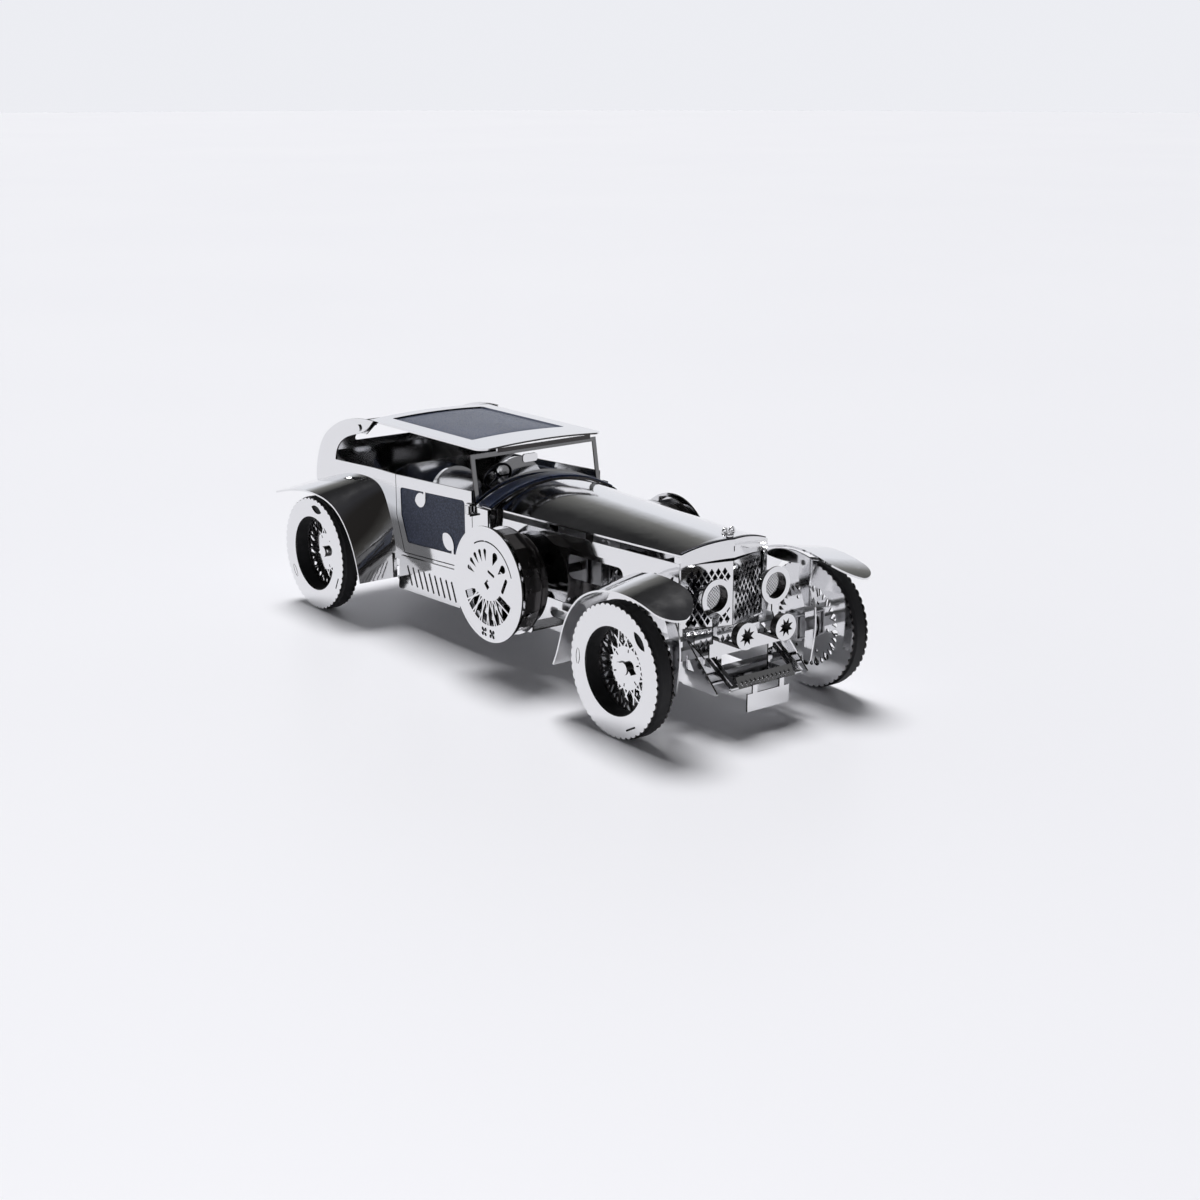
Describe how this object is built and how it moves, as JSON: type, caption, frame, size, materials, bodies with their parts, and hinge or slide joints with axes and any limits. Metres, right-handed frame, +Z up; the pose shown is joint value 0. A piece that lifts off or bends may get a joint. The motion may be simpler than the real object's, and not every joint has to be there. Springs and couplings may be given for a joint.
{
  "type": "model vintage car",
  "caption": "Clockwork model of an open-sided vintage touring car folded from polished steel sheet, with leather insets, rubber tyres, opening doors and steering front wheels.",
  "frame": {"origin": "on the ground under the middle of the car's length and width", "axes": "+X to the nose, +Y to the car's left, +Z up"},
  "size_m": [0.196, 0.074, 0.0617],
  "materials": {
    "polished_steel": "mirror polished stainless sheet",
    "satin_steel": "plain mill-finish steel",
    "spring_steel": "blued strip",
    "black_rubber": "matt moulded rubber",
    "navy_leather": "fine grained, semi-matt"
  },
  "bodies": {
    "chassis": {"belly_plate": "satin_steel", "bonnet_sides": "polished_steel", "bonnet_top": "polished_steel", "chassis_rails": "polished_steel", "dashboard": "polished_steel", "engine_block": "polished_steel", "firewall": "polished_steel", "floor_pan": "polished_steel", "fog_lamps": "polished_steel", "front_apron": "polished_steel", "front_axle_beam": "satin_steel", "gear_plates": "satin_steel", "headlamps": "polished_steel", "lamp_bracket": "polished_steel", "left_body_side": "polished_steel", "left_front_wing": "polished_steel", "left_spare_wheel": "polished_steel", "mirror": "polished_steel", "number_plate": "polished_steel", "radiator_cap": "polished_steel", "radiator_grille": "polished_steel", "radiator_shell": "polished_steel", "rear_fenders": "polished_steel", "rear_panel": "polished_steel", "right_body_side": "polished_steel", "right_front_wing": "polished_steel", "scuttle": "polished_steel", "scuttle_leather": "navy_leather", "seats": "polished_steel", "side_skirts": "polished_steel", "spare_brackets": "polished_steel", "steering_column": "polished_steel", "windscreen_frame": "polished_steel"},
    "rear_axle_set": {"rear_axle": "satin_steel", "rear_tyres": "black_rubber", "rear_tread_rings": "polished_steel", "rear_wheel_discs": "polished_steel"},
    "front_right_wheel": {"front_right_tyre": "black_rubber", "front_right_tread_ring": "polished_steel", "front_right_wheel_disc": "polished_steel"},
    "front_left_wheel": {"front_left_tyre": "black_rubber", "front_left_tread_ring": "polished_steel", "front_left_wheel_disc": "polished_steel"},
    "right_stub_axle": {"right_knuckle": "satin_steel"},
    "left_stub_axle": {"left_knuckle": "satin_steel"},
    "track_rod": {"tie_rod": "satin_steel"},
    "steering": {"steering_wheel": "polished_steel"},
    "right_door": {"right_door_frame": "polished_steel", "right_door_leather": "navy_leather"},
    "left_door": {"left_door_frame": "polished_steel", "left_door_leather": "navy_leather"},
    "roof": {"roof_frame": "polished_steel", "roof_leather": "navy_leather"},
    "barrel": {"spring_barrel": "satin_steel", "mainspring": "spring_steel"},
    "idler_1": {"idler_gear_1": "satin_steel"},
    "idler_2": {"idler_gear_2": "satin_steel"},
    "idler_3": {"idler_gear_3": "satin_steel"},
    "winding_knob": {"winding_wheel": "polished_steel", "winding_arbor": "polished_steel"}
  },
  "joints": [
    {"name": "rear_axle_spin", "type": "hinge", "parent": "chassis", "child": "rear_axle_set", "pos_m": [-0.075, 0, 0.018], "axis": [0, 1, 0], "continuous": true},
    {"name": "idler_3_spin", "type": "hinge", "parent": "chassis", "child": "idler_3", "pos_m": [-0.05816, 0, 0.0203], "axis": [0, 1, 0], "continuous": true},
    {"name": "idler_2_spin", "type": "hinge", "parent": "chassis", "child": "idler_2", "pos_m": [-0.03537, 0, 0.02341], "axis": [0, 1, 0], "continuous": true},
    {"name": "idler_1_spin", "type": "hinge", "parent": "chassis", "child": "idler_1", "pos_m": [-0.0106, 0, 0.02679], "axis": [0, 1, 0], "continuous": true},
    {"name": "barrel_spin", "type": "hinge", "parent": "chassis", "child": "barrel", "pos_m": [0.0164, 0, 0.0272], "axis": [0, 1, 0], "continuous": true},
    {"name": "winding_spin", "type": "hinge", "parent": "chassis", "child": "winding_knob", "pos_m": [0.0164, 0, 0.0272], "axis": [0, 1, 0], "continuous": true},
    {"name": "steer_left", "type": "hinge", "parent": "chassis", "child": "left_stub_axle", "pos_m": [0.0766, 0.0287, 0.018], "axis": [0, 0, 1], "range_deg": [-20, 20]},
    {"name": "steer_right", "type": "hinge", "parent": "chassis", "child": "right_stub_axle", "pos_m": [0.0766, -0.0287, 0.018], "axis": [0, 0, 1], "range_deg": [-20, 20]},
    {"name": "track_rod_slide", "type": "slide", "parent": "chassis", "child": "track_rod", "axis": [0, 1, 0], "range_m": [-0.0032, 0.0032]},
    {"name": "steering_wheel_turn", "type": "hinge", "parent": "chassis", "child": "steering", "pos_m": [-0.012, -0.01, 0.05], "axis": [-0.8944, 0, 0.4472], "range_deg": [-40, 40]},
    {"name": "front_right_wheel_spin", "type": "hinge", "parent": "right_stub_axle", "child": "front_right_wheel", "pos_m": [0.0766, -0.034, 0.018], "axis": [0, 1, 0], "continuous": true},
    {"name": "front_left_wheel_spin", "type": "hinge", "parent": "left_stub_axle", "child": "front_left_wheel", "pos_m": [0.0766, 0.034, 0.018], "axis": [0, 1, 0], "continuous": true},
    {"name": "right_door_hinge", "type": "hinge", "parent": "chassis", "child": "right_door", "pos_m": [-0.006, -0.0246, 0.035], "axis": [0, 0, 1], "range_deg": [0, 70]},
    {"name": "left_door_hinge", "type": "hinge", "parent": "chassis", "child": "left_door", "pos_m": [-0.006, 0.0246, 0.035], "axis": [0, 0, -1], "range_deg": [0, 70]},
    {"name": "roof_lift", "type": "hinge", "parent": "chassis", "child": "roof", "pos_m": [-0.0675, 0, 0.0576], "axis": [0, -1, 0], "range_deg": [0, 55]}
  ],
  "couplings": [
    {"joint": "idler_3_spin", "follows": "rear_axle_spin", "ratio": -0.54545},
    {"joint": "idler_2_spin", "follows": "rear_axle_spin", "ratio": 0.5},
    {"joint": "idler_1_spin", "follows": "rear_axle_spin", "ratio": -0.46154},
    {"joint": "barrel_spin", "follows": "rear_axle_spin", "ratio": 0.42857},
    {"joint": "steer_right", "follows": "steer_left", "ratio": 1},
    {"joint": "track_rod_slide", "follows": "steer_left", "m_per_rad": -0.0089},
    {"joint": "steering_wheel_turn", "follows": "steer_left", "ratio": 2}
  ]
}
